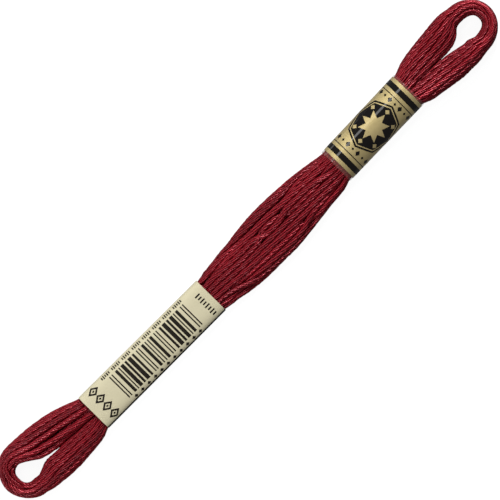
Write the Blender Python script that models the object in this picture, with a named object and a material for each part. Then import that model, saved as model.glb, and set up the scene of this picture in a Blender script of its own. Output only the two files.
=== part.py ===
"""A skein of stranded embroidery floss, lying flat and held by two printed sleeves.

The floss is wound as one long flattened coil. It shows as a bundle that is widest between
the sleeves, parts into two legs at each end, and turns back on itself round an eyelet.
+X runs along the skein from the long sleeve to the short one, +Y across it and +Z up. The
origin is on the surface that the skein lies on, under the middle of its box.
"""

import math
from typing import NamedTuple

import bmesh
import bpy

MM = 0.001

GAP = 0.32  # between a sleeve and the floss that it pinches
SAG = 0.35  # the round of the bundle that lying on a surface has flattened
RIDGE = 0.36  # how deep the valleys between the runs of floss are

HALF_STEPS = 26  # steps round one half of the bundle, from its top crease to its bottom one
WALL_STEPS = 8  # steps down the wall of a leg that faces the eyelet
LEG_STEPS = HALF_STEPS + WALL_STEPS
BEND_STEPS = 14  # steps round the end of a loop, from one leg to the other
SLEEVE_STEPS = 52

CREASE_TURN = math.pi * HALF_STEPS / LEG_STEPS  # from a leg's outer side to its crease
LEG_POWER = 2.1
EYELET_POWER = 2.9
SHARP_ANGLE = math.radians(24)  # edges sharper than this, such as the valleys, show as edges


class Section(NamedTuple):
    """A section of the bundle between its two forks. Sizes are in millimetres."""

    x: float
    low: float  # outer edge on the -Y side
    high: float  # outer edge on the +Y side
    crease: float  # y of the crease between the two halves
    base: float
    top: float
    parting: float  # 0 is one round bundle, and 1 is two round legs side by side
    power: float  # 2 is an ellipse, and more is squarer


class LegPair(NamedTuple):
    """The two legs of a loop, at one place along the skein."""

    x: float
    low_outer: float
    low_inner: float
    high_inner: float
    high_outer: float
    top: float
    flat: float  # 1 is a wall pressed as flat as at the fork, and 0 is a round one


class Bend(NamedTuple):
    """The end of a loop: an eyelet's round end inside a larger round end."""

    x: float  # where both curves start
    inner_y: float
    inner_reach: float
    inner_half: float
    outer_y: float
    outer_reach: float
    outer_half: float
    top: float


class Sleeve(NamedTuple):
    """A sleeve round the bundle, tapering evenly from one end to the other."""

    start_x: float
    end_x: float
    start_low: float
    start_high: float
    end_low: float
    end_high: float
    top: float
    wall: float
    power: float


LONG_SLEEVE = Sleeve(
    start_x=-55.0,
    end_x=-14.3,
    start_low=-6.30,
    start_high=3.95,
    end_low=-6.38,
    end_high=3.62,
    top=5.7,
    wall=0.4,
    power=2.9,
)
SHORT_SLEEVE = Sleeve(
    start_x=28.9,
    end_x=55.0,
    start_low=-5.92,
    start_high=3.88,
    end_low=-5.50,
    end_high=4.58,
    top=6.9,
    wall=0.4,
    power=2.3,
)

LEFT_SHOULDER = (
    #         x      low   high  crease base  top  parting power
    Section(-67.9, -7.62, 7.60, -0.70, 0.00, 5.9, 1.00, 2.1),
    Section(-65.8, -7.77, 7.12, -0.80, 0.00, 5.9, 0.90, 2.1),
    Section(-63.3, -7.60, 6.76, -0.90, 0.00, 5.8, 0.75, 2.1),
    Section(-60.9, -7.46, 6.08, -1.00, 0.00, 5.8, 0.60, 2.2),
    Section(-58.5, -7.25, 5.38, -1.10, 0.00, 5.7, 0.45, 2.3),
    Section(-56.9, -6.98, 4.72, -1.15, 0.00, 5.6, 0.35, 2.4),
    Section(-56.1, -6.62, 4.26, -1.15, 0.15, 5.5, 0.30, 2.5),
)
BELLY = (
    Section(-13.2, -6.12, 3.50, -1.40, 0.25, 5.3, 0.00, 2.5),
    Section(-12.0, -6.38, 3.78, -1.35, 0.00, 5.5, 0.00, 2.4),
    Section(-10.1, -6.58, 3.92, -1.35, 0.00, 5.6, 0.00, 2.3),
    Section(-7.7, -7.24, 4.22, -1.40, 0.00, 5.6, 0.00, 2.2),
    Section(-5.3, -7.58, 4.56, -1.45, 0.00, 5.7, 0.00, 2.2),
    Section(-2.9, -7.77, 4.72, -1.45, 0.00, 5.7, 0.00, 2.1),
    Section(0.0, -7.92, 5.08, -1.40, 0.00, 5.8, 0.00, 2.1),
    Section(2.7, -7.98, 5.34, -1.30, 0.00, 5.8, 0.00, 2.1),
    Section(5.4, -8.00, 5.60, -1.20, 0.00, 5.8, 0.00, 2.1),
    Section(8.4, -8.02, 5.70, -1.15, 0.00, 5.8, 0.00, 2.1),
    Section(11.6, -7.70, 5.65, -1.10, 0.00, 5.8, 0.00, 2.1),
    Section(14.1, -7.36, 5.48, -1.05, 0.00, 5.9, 0.00, 2.1),
    Section(16.5, -7.15, 5.28, -1.00, 0.00, 5.9, 0.00, 2.1),
    Section(18.9, -6.86, 5.08, -0.95, 0.00, 6.0, 0.00, 2.1),
    Section(21.3, -6.54, 4.75, -0.95, 0.00, 6.1, 0.00, 2.1),
    Section(23.7, -6.37, 4.39, -1.00, 0.00, 6.2, 0.00, 2.1),
    Section(26.2, -6.18, 4.05, -1.00, 0.10, 6.3, 0.00, 2.2),
    Section(27.7, -5.85, 3.72, -1.05, 0.30, 6.3, 0.00, 2.3),
)
RIGHT_SHOULDER = (
    Section(56.2, -5.82, 5.02, -0.60, 0.15, 6.2, 0.30, 2.3),
    Section(57.6, -6.25, 5.57, -0.65, 0.00, 6.1, 0.40, 2.2),
    Section(60.0, -6.62, 6.08, -0.70, 0.00, 6.0, 0.55, 2.1),
    Section(62.4, -7.08, 6.40, -0.80, 0.00, 6.0, 0.70, 2.1),
    Section(64.8, -7.32, 6.72, -0.90, 0.00, 6.0, 0.88, 2.1),
    Section(66.8, -7.62, 6.88, -0.95, 0.00, 6.0, 1.00, 2.1),
)

LEFT_LEGS = (
    #         x   low_outer low_inner high_inner high_outer top flat
    LegPair(-69.4, -7.47, -0.95, -0.42, 7.74, 5.9, 0.80),
    LegPair(-70.8, -7.38, -1.22, -0.02, 7.83, 5.9, 0.60),
    LegPair(-72.0, -7.28, -1.65, 0.70, 7.92, 5.8, 0.40),
    LegPair(-73.1, -7.15, -2.12, 1.88, 7.98, 5.8, 0.20),
    LegPair(-74.1, -6.94, -2.42, 2.68, 8.01, 5.7, 0.05),
)
LEFT_BEND = Bend(
    x=-74.9,
    inner_y=0.28,
    inner_reach=3.9,
    inner_half=2.85,
    outer_y=0.66,
    outer_reach=7.7,
    outer_half=7.36,
    top=5.6,
)
RIGHT_LEGS = (
    LegPair(68.2, -7.66, -1.22, -0.70, 6.98, 6.0, 0.80),
    LegPair(69.7, -7.67, -1.58, -0.32, 7.06, 5.9, 0.60),
    LegPair(71.1, -7.66, -1.95, 0.40, 7.13, 5.9, 0.40),
    LegPair(72.4, -7.58, -2.34, 1.55, 7.17, 5.8, 0.20),
    LegPair(73.6, -7.42, -2.70, 2.36, 7.13, 5.7, 0.05),
)
RIGHT_BEND = Bend(
    x=74.8,
    inner_y=-0.10,
    inner_reach=3.8,
    inner_half=2.85,
    outer_y=-0.08,
    outer_reach=7.8,
    outer_half=7.12,
    top=5.6,
)


def superellipse(angle, power):
    """The point of a unit superellipse at an angle, as (across, up)."""
    across = math.cos(angle)
    up = math.sin(angle)
    return (
        math.copysign(abs(across) ** (2 / power), across),
        math.copysign(abs(up) ** (2 / power), up),
    )


def blend(first, second, share):
    return first + (second - first) * share


def resting(height, base, top):
    """The z of a point at this height, -1 to 1, of a round that its weight has flattened."""
    half = (top - base + SAG) / 2
    return max(top - half + half * height, base)


def valley(step):
    """How far this step lies below the crests of the ridges."""
    return RIDGE if step % 2 == 0 else 0.0


def pinched(sleeve, x):
    """The section of the bundle inside a sleeve."""
    share = (x - sleeve.start_x) / (sleeve.end_x - sleeve.start_x)
    inset = sleeve.wall + GAP
    low = blend(sleeve.start_low, sleeve.end_low, share) + inset
    high = blend(sleeve.start_high, sleeve.end_high, share) - inset
    crease = (low + high) / 2
    return Section(x, low, high, crease, inset, sleeve.top - inset, 0.0, sleeve.power)


def bundle_sections():
    """Every section from the left fork to the right one."""
    overhang = 0.2
    inside = []
    for sleeve in (LONG_SLEEVE, SHORT_SLEEVE):
        middle = (sleeve.start_x + sleeve.end_x) / 2
        places = (sleeve.start_x - overhang, middle, sleeve.end_x + overhang)
        inside.append([pinched(sleeve, x) for x in places])
    return [*LEFT_SHOULDER, *inside[0], *BELLY, *inside[1], *RIGHT_SHOULDER]


def half_ring(section, side):
    """Points round one half of a section, from its top crease to its bottom crease."""
    edge = section.high if side > 0 else section.low
    reach = abs(edge - section.crease)
    leg_radius = reach / (1 - superellipse(CREASE_TURN, LEG_POWER)[0])
    points = []
    for step in range(HALF_STEPS + 1):
        share = 1 - 2 * step / HALF_STEPS
        whole = superellipse(share * math.pi / 2, section.power)
        leg = superellipse(share * CREASE_TURN, LEG_POWER)
        leg_across = reach - leg_radius * (1 - leg[0])
        across = blend(whole[0] * reach, leg_across, section.parting)
        up = blend(whole[1], leg[1], section.parting)
        turn = share * blend(math.pi / 2, CREASE_TURN, section.parting)
        half = (section.top - section.base) / 2
        if 0 < step < HALF_STEPS:
            across -= valley(step) * math.cos(turn)
        up -= valley(step) * math.sin(turn) / half
        z = resting(up, section.base, section.top)
        points.append((section.x, section.crease + side * across, z))
    return points


def leg_ring(inner, outer, top, flat=0.0):
    """Points round a leg, from its inner top round its outer side and back up its wall."""
    width = math.dist(inner, outer)
    outward = [(far - near) / width for near, far in zip(inner, outer)]
    wall_reach = blend(1.0, -superellipse(CREASE_TURN, LEG_POWER)[0], flat)
    radius = width / (1 + wall_reach)
    middle = [far - radius * way for far, way in zip(outer, outward)]
    points = []
    for step in range(LEG_STEPS):
        angle = CREASE_TURN - 2 * math.pi * step / LEG_STEPS
        across, up = superellipse(angle, LEG_POWER)
        across = max(across, -wall_reach) - valley(step) * math.cos(angle) / radius
        up -= valley(step) * math.sin(angle) / (top / 2)
        x = middle[0] + across * radius * outward[0]
        y = middle[1] + across * radius * outward[1]
        points.append((x, y, resting(up, 0.0, top)))
    return points


def loop_rings(legs, bend):
    """Rings of a loop, from the +Y leg round the bend to the -Y leg."""
    outward = math.copysign(1, bend.x)
    upper = []
    lower = []
    for pair in legs:
        high_edges = (pair.x, pair.high_inner), (pair.x, pair.high_outer)
        low_edges = (pair.x, pair.low_inner), (pair.x, pair.low_outer)
        upper.append(leg_ring(*high_edges, pair.top, pair.flat))
        lower.append(leg_ring(*low_edges, pair.top, pair.flat))
    turns = []
    for step in range(BEND_STEPS + 1):
        angle = math.pi / 2 - math.pi * step / BEND_STEPS
        inner_along, inner_across = superellipse(angle, EYELET_POWER)
        outer_along, outer_across = superellipse(angle, 2.0)
        inner = (
            bend.x + outward * bend.inner_reach * inner_along,
            bend.inner_y + bend.inner_half * inner_across,
        )
        outer = (
            bend.x + outward * bend.outer_reach * outer_along,
            bend.outer_y + bend.outer_half * outer_across,
        )
        turns.append(leg_ring(inner, outer, bend.top))
    return upper + turns + lower[::-1]


def join_rings(mesh, first, second):
    """Faces between two closed rings of the same number of corners."""
    for index in range(len(first)):
        after = (index + 1) % len(first)
        mesh.faces.new((first[index], first[after], second[after], second[index]))


def add_ring(mesh, points):
    """Corners at points given in millimetres."""
    return [mesh.verts.new([value * MM for value in point]) for point in points]


def add_loop(mesh, fork, legs, bend):
    """A loop on a fork: a ring from the top crease down its +Y half and up its -Y half."""
    top_crease = fork[0]
    bottom_crease = fork[HALF_STEPS]
    wall = []
    for step in range(1, WALL_STEPS):
        place = bottom_crease.co.lerp(top_crease.co, step / WALL_STEPS)
        wall.append(mesh.verts.new(place))
    high_half = fork[: HALF_STEPS + 1]
    low_half = [top_crease, *reversed(fork[HALF_STEPS:])]
    rings = [high_half + wall]
    rings += [add_ring(mesh, points) for points in loop_rings(legs, bend)]
    rings.append(low_half + wall)
    for first, second in zip(rings, rings[1:]):
        join_rings(mesh, first, second)


def material(name, color, roughness, sheen=0.0, coat=0.0):
    finish = bpy.data.materials.new(name)
    finish.use_nodes = True
    finish.diffuse_color = (*color, 1.0)
    shader = finish.node_tree.nodes["Principled BSDF"]
    shader.inputs["Base Color"].default_value = (*color, 1.0)
    shader.inputs["Roughness"].default_value = roughness
    shader.inputs["Metallic"].default_value = 0.0
    shader.inputs["Sheen Weight"].default_value = sheen
    shader.inputs["Coat Weight"].default_value = coat
    return finish


def add_object(name, mesh, finish):
    """Turns a bmesh into an object, with its faces pointing out and its rounds smooth."""
    bmesh.ops.recalc_face_normals(mesh, faces=mesh.faces)
    data = bpy.data.meshes.new(name)
    mesh.to_mesh(data)
    mesh.free()
    data.shade_smooth()
    data.set_sharp_from_angle(angle=SHARP_ANGLE)
    data.materials.append(finish)
    made = bpy.data.objects.new(name, data)
    bpy.context.collection.objects.link(made)
    return made


def build_hank():
    """The wound floss: one bundle with a loop at each end."""
    mesh = bmesh.new()
    rings = []
    for section in bundle_sections():
        high_side = half_ring(section, 1)
        low_side = half_ring(section, -1)
        rings.append(add_ring(mesh, high_side + low_side[-2:0:-1]))
    for first, second in zip(rings, rings[1:]):
        join_rings(mesh, first, second)
    add_loop(mesh, rings[0], LEFT_LEGS, LEFT_BEND)
    add_loop(mesh, rings[-1], RIGHT_LEGS, RIGHT_BEND)
    floss = material("floss", (0.22, 0.012, 0.022), roughness=0.55, sheen=0.5)
    return add_object("floss_hank", mesh, floss)


def sleeve_ring(sleeve, x, low, high, inset):
    """Points round a sleeve's outer face, or round its inner one with its wall as inset."""
    middle = (low + high) / 2
    reach = (high - low) / 2 - inset
    points = []
    for step in range(SLEEVE_STEPS):
        across, up = superellipse(2 * math.pi * step / SLEEVE_STEPS, sleeve.power)
        z = resting(up, inset, sleeve.top - inset)
        points.append((x, middle + reach * across, z))
    return points


def build_sleeve(name, sleeve, finish):
    """A sleeve: an outer and an inner face, joined at both open ends."""
    mesh = bmesh.new()
    start = (sleeve.start_x, sleeve.start_low, sleeve.start_high)
    end = (sleeve.end_x, sleeve.end_low, sleeve.end_high)
    rings = [
        add_ring(mesh, sleeve_ring(sleeve, *start, 0.0)),
        add_ring(mesh, sleeve_ring(sleeve, *end, 0.0)),
        add_ring(mesh, sleeve_ring(sleeve, *end, sleeve.wall)),
        add_ring(mesh, sleeve_ring(sleeve, *start, sleeve.wall)),
    ]
    for first, second in zip(rings, rings[1:] + rings[:1]):
        join_rings(mesh, first, second)
    return add_object(name, mesh, finish)


def main():
    for left_over in list(bpy.data.objects):
        bpy.data.objects.remove(left_over, do_unlink=True)
    build_hank()
    paper = material("paper", (0.62, 0.57, 0.40), roughness=0.8)
    film = material("film", (0.10, 0.08, 0.05), roughness=0.2, coat=0.6)
    build_sleeve("long_band", LONG_SLEEVE, paper)
    build_sleeve("short_band", SHORT_SLEEVE, film)


main()
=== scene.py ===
"""A skein of stranded embroidery floss with its two printed sleeves, dressed for close viewing.

The floss is one length, wound into a long flat coil of six loosely twisted plies. The coil is
packed the way it is wound: every run has its own place in the bundle, squeezed by the sleeves,
spread between them and turned round an eyelet at each end. The sleeves are cut and printed
flat, and then wrapped round the bundle and lapped underneath. All lengths are in millimetres
until a mesh is made.
"""

import logging
import math
from collections.abc import Callable
from dataclasses import dataclass
from enum import Enum
from typing import NamedTuple

import bmesh
import bpy
import numpy as np
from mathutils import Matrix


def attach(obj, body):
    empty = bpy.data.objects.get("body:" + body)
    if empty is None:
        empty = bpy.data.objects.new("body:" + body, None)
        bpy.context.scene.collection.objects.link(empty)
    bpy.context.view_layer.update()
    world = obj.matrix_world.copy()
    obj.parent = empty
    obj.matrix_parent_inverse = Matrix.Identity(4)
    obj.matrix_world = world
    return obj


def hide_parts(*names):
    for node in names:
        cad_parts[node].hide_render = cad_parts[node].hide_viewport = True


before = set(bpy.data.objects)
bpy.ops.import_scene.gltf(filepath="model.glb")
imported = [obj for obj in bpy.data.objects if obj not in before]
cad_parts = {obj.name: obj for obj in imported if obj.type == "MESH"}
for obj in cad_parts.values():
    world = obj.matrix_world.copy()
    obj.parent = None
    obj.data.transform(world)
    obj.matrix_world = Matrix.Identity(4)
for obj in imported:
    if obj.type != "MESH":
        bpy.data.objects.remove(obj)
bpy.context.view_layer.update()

log = logging.getLogger("skein")

Pair = tuple[float, float]
Colour = tuple[float, float, float]

MM = 0.001
TURN = 2 * math.pi
BODY = "root"
FLOSS_MAP = "OFBake"  # the UV map that lays a twist of each ply on a tile of its own

SAG = 0.35  # the round of the bundle that lying on a surface has flattened
LEG_TURN = math.pi * 29 / 34  # from a leg's outer side to the crease between the two legs
LEG_POWER = 2.1
EYELET_POWER = 2.5
OUTLINE_CORNERS = 48
CREASE_LAP = 0.30  # how far the floss of each leg may press past the crease
WHOLE_UNTIL = 0.05  # the parting up to which the bundle is packed as one
CLOSE_PACKING = 1.1547  # the square of the closest even spacing, over the area for each round
FAR_OUT = 1000.0  # where an edge of no length is put, so that it holds nothing in

# where the runs of a half start and settle, as shares of its width and height
SLOT_START = (0.05, 0.1)
SLOT_SPREAD = (0.9, 0.8)
SLOT_GAP = 0.235
SLOT_EDGE = 0.02
SLOT_PUSH = 0.3  # the share of an overlap that one round takes away

MOST_CHANCE = 1.5  # the furthest that a chance draw may stray from the mean, in spreads
DIAMOND = 4  # its sides
OCTAGON = 8
STAR = 16  # two sides to a point

CLOUDS = "Clouds a metre"  # the input of the shared skin
FINE_CLOUDS = 9.0  # how many times smaller its fine clouds are than its broad ones
FINE_SHARE = 0.35  # how much of its tone they give


class Slot(Enum):
    """The material slots of the record."""

    FLOSS = "floss"
    PAPER = "paper"
    FILM = "film"


class Half(Enum):
    """The two halves of the bundle, which part into the two legs of a loop."""

    HIGH = 1
    LOW = -1


class Section(NamedTuple):
    """A section of the bundle between its two forks."""

    x: float
    low: float  # outer edge on the -Y side
    high: float  # outer edge on the +Y side
    crease: float  # y of the crease between the two halves
    base: float
    top: float
    parting: float  # 0 is one round bundle, and 1 is two round legs side by side
    power: float  # 2 is an ellipse, and more is squarer


class LegPair(NamedTuple):
    """The two legs of a loop, at one place along the skein."""

    x: float
    low_outer: float
    low_inner: float
    high_inner: float
    high_outer: float
    top: float
    flat: float  # 1 is a wall pressed as flat as at the fork, and 0 is a round one


class Bend(NamedTuple):
    """The end of a loop: an eyelet's round end inside a larger round end."""

    x: float  # where both curves start
    inner_y: float
    inner_reach: float
    inner_half: float
    outer_y: float
    outer_reach: float
    outer_half: float
    outer_power: float
    top: float


class Sleeve(NamedTuple):
    """A sleeve round the bundle, tapering evenly from one end to the other."""

    start_x: float
    end_x: float
    start_low: float
    start_high: float
    end_low: float
    end_high: float
    start_crease: float  # y of the crease inside it
    end_crease: float
    top: float
    power: float


LONG_SLEEVE = Sleeve(-54.5, -14.4, -6.44, 3.95, -6.50, 3.62, -2.05, -1.40, top=5.7, power=3.6)
SHORT_SLEEVE = Sleeve(28.9, 54.6, -5.92, 3.88, -5.50, 4.58, -1.05, -0.60, top=6.9, power=2.3)

LEFT_SHOULDER = (
    #         x      low   high  crease base  top  parting power
    Section(-66.8, -8.00, 7.34, -1.30, 0.00, 5.55, 1.00, 2.1),
    Section(-65.6, -8.08, 7.12, -1.45, 0.00, 5.48, 1.00, 2.1),
    Section(-63.3, -7.90, 6.74, -1.65, 0.00, 5.38, 0.97, 2.1),
    Section(-60.9, -7.74, 6.02, -1.85, 0.00, 5.38, 0.92, 2.2),
    Section(-58.5, -7.55, 5.24, -1.98, 0.00, 5.45, 0.84, 2.2),
    Section(-56.9, -7.26, 4.50, -2.03, 0.00, 5.5, 0.76, 2.3),
    Section(-55.8, -6.85, 4.14, -2.05, 0.15, 5.5, 0.70, 2.4),
)
BELLY = (
    Section(-13.2, -6.60, 3.58, -1.40, 0.25, 5.3, 0.00, 2.5),
    Section(-12.0, -6.78, 3.88, -1.35, 0.00, 5.35, 0.00, 2.4),
    Section(-10.1, -6.93, 3.92, -1.35, 0.00, 5.45, 0.00, 2.3),
    Section(-7.7, -7.59, 4.22, -1.40, 0.00, 5.5, 0.00, 2.2),
    Section(-5.3, -7.93, 4.56, -1.45, 0.00, 5.55, 0.00, 2.2),
    Section(-2.9, -8.20, 4.72, -1.45, 0.00, 5.6, 0.00, 2.1),
    Section(0.0, -8.37, 5.08, -1.40, 0.00, 5.65, 0.00, 2.1),
    Section(2.7, -8.45, 5.34, -1.30, 0.00, 5.75, 0.00, 2.1),
    Section(5.4, -8.52, 5.60, -1.20, 0.00, 5.85, 0.00, 2.1),
    Section(8.4, -8.50, 5.70, -1.15, 0.00, 6.0, 0.00, 2.1),
    Section(11.6, -8.12, 5.65, -1.10, 0.00, 6.15, 0.00, 2.1),
    Section(14.1, -7.80, 5.48, -1.05, 0.00, 6.25, 0.00, 2.1),
    Section(16.5, -7.50, 5.28, -1.00, 0.00, 6.3, 0.00, 2.1),
    Section(18.9, -7.21, 5.08, -0.95, 0.00, 6.3, 0.00, 2.1),
    Section(21.3, -6.89, 4.75, -0.95, 0.00, 6.3, 0.00, 2.1),
    Section(23.7, -6.72, 4.39, -1.00, 0.00, 6.3, 0.00, 2.1),
    Section(26.2, -6.53, 3.97, -1.00, 0.10, 6.28, 0.00, 2.2),
    Section(27.7, -6.20, 3.66, -1.05, 0.30, 6.25, 0.00, 2.3),
)
RIGHT_SHOULDER = (
    Section(56.2, -6.17, 5.02, -0.60, 0.15, 6.2, 0.70, 2.3),
    Section(57.6, -6.52, 5.57, -0.65, 0.00, 6.05, 0.78, 2.2),
    Section(60.0, -6.87, 6.08, -0.70, 0.00, 5.78, 0.88, 2.1),
    Section(62.4, -7.31, 6.38, -0.80, 0.00, 5.55, 0.95, 2.1),
    Section(64.2, -7.56, 6.60, -0.90, 0.00, 5.45, 1.00, 2.1),
    Section(65.5, -7.82, 6.72, -0.95, 0.00, 5.45, 1.00, 2.1),
)

LEFT_LEGS = (
    #         x   low_outer low_inner high_inner high_outer top flat
    LegPair(-68.0, -8.02, -1.28, -0.98, 7.56, 5.65, 0.95),
    LegPair(-69.4, -7.98, -1.12, -0.70, 7.66, 5.76, 0.80),
    LegPair(-70.8, -7.75, -0.98, -0.30, 7.74, 5.86, 0.60),
    LegPair(-72.0, -7.60, -1.42, 0.22, 7.84, 5.94, 0.40),
    LegPair(-73.1, -7.50, -1.90, 1.15, 7.90, 6.0, 0.20),
    LegPair(-74.1, -7.32, -2.28, 1.76, 7.96, 6.03, 0.05),
    LegPair(-75.0, -7.10, -2.50, 2.34, 7.98, 6.05, 0.00),
)
LEFT_BEND = Bend(-76.0, 0.32, 2.55, 2.50, 0.58, 6.65, 7.34, 1.81, top=6.05)
RIGHT_LEGS = (
    LegPair(66.8, -7.95, -1.10, -0.98, 6.82, 5.52, 0.95),
    LegPair(68.2, -7.88, -1.37, -0.90, 6.96, 5.65, 0.80),
    LegPair(69.7, -7.92, -1.69, -0.62, 7.10, 5.8, 0.60),
    LegPair(71.1, -7.96, -2.00, -0.16, 7.20, 5.93, 0.40),
    LegPair(72.4, -7.80, -2.16, 0.84, 7.15, 6.0, 0.20),
    LegPair(73.6, -7.58, -2.12, 2.06, 7.00, 6.05, 0.05),
)
RIGHT_BEND = Bend(74.8, -0.36, 3.95, 2.42, -0.36, 7.8, 7.06, 2.0, top=6.05)


def superellipse(angle: np.ndarray, power: float) -> tuple[np.ndarray, np.ndarray]:
    """Reads points of a unit superellipse.

    Args:
        angle: The angles to read it at, in radians.
        power: 2 is a circle, and more is squarer.

    Returns:
        How far across and how far up each point is.
    """
    across, up = np.cos(angle), np.sin(angle)
    return (
        np.sign(across) * np.abs(across) ** (2 / power),
        np.sign(up) * np.abs(up) ** (2 / power),
    )


class Station(NamedTuple):
    """One place along the way that the floss is wound."""

    inner: Pair  # its point on the crease or on the eyelet's edge
    outward: Pair  # the direction from there to the outer side
    outline: np.ndarray  # what the floss keeps within: how far outwards, and how high
    whole: bool  # whether that is the whole bundle's outline, shared with the other half


def blend(first: float, second: float, share: float) -> float:
    """The value a share of the way from the first to the second."""
    return first + (second - first) * share


def ease(share: np.ndarray) -> np.ndarray:
    """A share from 0 to 1 that starts and stops gently."""
    held = np.clip(share, 0.0, 1.0)
    return held * held * (3 - 2 * held)


def resting(height: np.ndarray, base: float, top: float) -> np.ndarray:
    """The z of points at a height, from -1 to 1, of a round that rests on its flattened base."""
    half = (top - base + SAG) / 2
    return np.maximum(top - half + half * height, base)


@dataclass
class Bench:
    """Adds and joins the nodes of one material or node group."""

    tree: bpy.types.NodeTree

    def add(self, kind: str, **settings: object) -> bpy.types.Node:
        """Adds a node.

        Args:
            kind: The node's type.
            settings: Its properties, by name.

        Returns:
            The new node.
        """
        node = self.tree.nodes.new(kind)
        for name, value in settings.items():
            setattr(node, name, value)
        return node

    def join(self, source: object, target: bpy.types.NodeSocket) -> None:
        """Feeds a socket from another one, or sets it to a number or a colour.

        Args:
            source: The other socket, the number or the colour.
            target: The socket that takes it.
        """
        if isinstance(source, bpy.types.NodeSocket):
            self.tree.links.new(source, target)
        elif target.type == "RGBA":
            target.default_value = (*source, 1.0)
        else:
            target.default_value = source

    def fill(self, node: bpy.types.Node, values: dict[str, object]) -> None:
        """Feeds or sets several inputs of a node, each by its name."""
        for name, value in values.items():
            self.join(value, node.inputs[name])

    def maths(self, operation: str, *values: object) -> bpy.types.NodeSocket:
        """Adds a Math node.

        Args:
            operation: What it works out.
            values: Its sockets or numbers, in order.

        Returns:
            Its output.
        """
        node = self.add("ShaderNodeMath", operation=operation)
        for value, socket in zip(values, node.inputs):
            self.join(value, socket)
        return node.outputs[0]

    def mix(self, share: object, first: object, second: object) -> bpy.types.NodeSocket:
        """Mixes two colours.

        Args:
            share: How much of the second there is, from 0 to 1.
            first: The colour at 0.
            second: The colour at 1.

        Returns:
            The mixed colour.
        """
        node = self.add("ShaderNodeMix", data_type="RGBA")
        self.fill(node, {"Factor": share, "A": first, "B": second})
        return node.outputs["Result"]

    def noise(self, scale: object, detail: float, place: object) -> bpy.types.NodeSocket:
        """Makes a cloudy value.

        Args:
            scale: Clouds to a metre.
            detail: How much finer cloud is laid over the first.
            place: The coordinates that it is read at.

        Returns:
            The value, from 0 to 1.
        """
        node = self.add("ShaderNodeTexNoise")
        self.fill(node, {"Vector": place, "Scale": scale, "Detail": detail})
        return node.outputs["Fac"]

    def spread(self, value: object, low: float, high: float) -> bpy.types.NodeSocket:
        """Moves a value that runs from 0 to 1.

        Args:
            value: The value.
            low: What 0 becomes.
            high: What 1 becomes.

        Returns:
            The moved value.
        """
        node = self.add("ShaderNodeMapRange")
        self.fill(node, {"Value": value, "To Min": low, "To Max": high})
        return node.outputs["Result"]

    def bump(self, height: object, depth: float) -> bpy.types.NodeSocket:
        """Raises a surface by a height.

        Args:
            height: The height, from 0 to 1.
            depth: How far 1 is raised, in millimetres.

        Returns:
            The raised surface's normals.
        """
        node = self.add("ShaderNodeBump")
        self.fill(node, {"Height": height, "Distance": depth * MM})
        return node.outputs["Normal"]

    def skin(self, clouds: float) -> bpy.types.Node:
        """Places the shared uneven skin.

        Args:
            clouds: Clouds to a metre.

        Returns:
            Its node.
        """
        node = self.add("ShaderNodeGroup", node_tree=cloud_group())
        self.fill(node, {CLOUDS: clouds})
        return node


def new_finish(name: str) -> tuple[bpy.types.Material, Bench, bpy.types.Node]:
    """Starts a material.

    Args:
        name: Its name.

    Returns:
        The material, its bench and its Principled shader.
    """
    material = bpy.data.materials.new(name)
    material.use_nodes = True
    bench = Bench(material.node_tree)
    return material, bench, material.node_tree.nodes["Principled BSDF"]


def cloud_group() -> bpy.types.NodeTree:
    """The shared effect of an uneven skin: soft clouds of tone, and a fine rise and fall.

    Returns:
        A node group. It takes the size of its clouds, and puts out a tone and a height.
    """
    name = "uneven skin"
    if name in bpy.data.node_groups:
        return bpy.data.node_groups[name]
    group = bpy.data.node_groups.new(name, "ShaderNodeTree")
    for socket, way in ((CLOUDS, "INPUT"), ("Tone", "OUTPUT"), ("Height", "OUTPUT")):
        group.interface.new_socket(socket, in_out=way, socket_type="NodeSocketFloat")
    bench = Bench(group)
    clouds = bench.add("NodeGroupInput").outputs[CLOUDS]
    given = bench.add("NodeGroupOutput")
    place = bench.add("ShaderNodeTexCoord").outputs["Object"]
    broad = bench.noise(clouds, detail=3.0, place=place)
    fine_clouds = bench.maths("MULTIPLY", clouds, FINE_CLOUDS)
    fine = bench.noise(fine_clouds, detail=2.0, place=place)
    broad_part = bench.maths("MULTIPLY", broad, 1 - FINE_SHARE)
    tone = bench.maths("MULTIPLY_ADD", fine, FINE_SHARE, broad_part)
    bench.fill(given, {"Tone": tone, "Height": fine})
    return group


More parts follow.
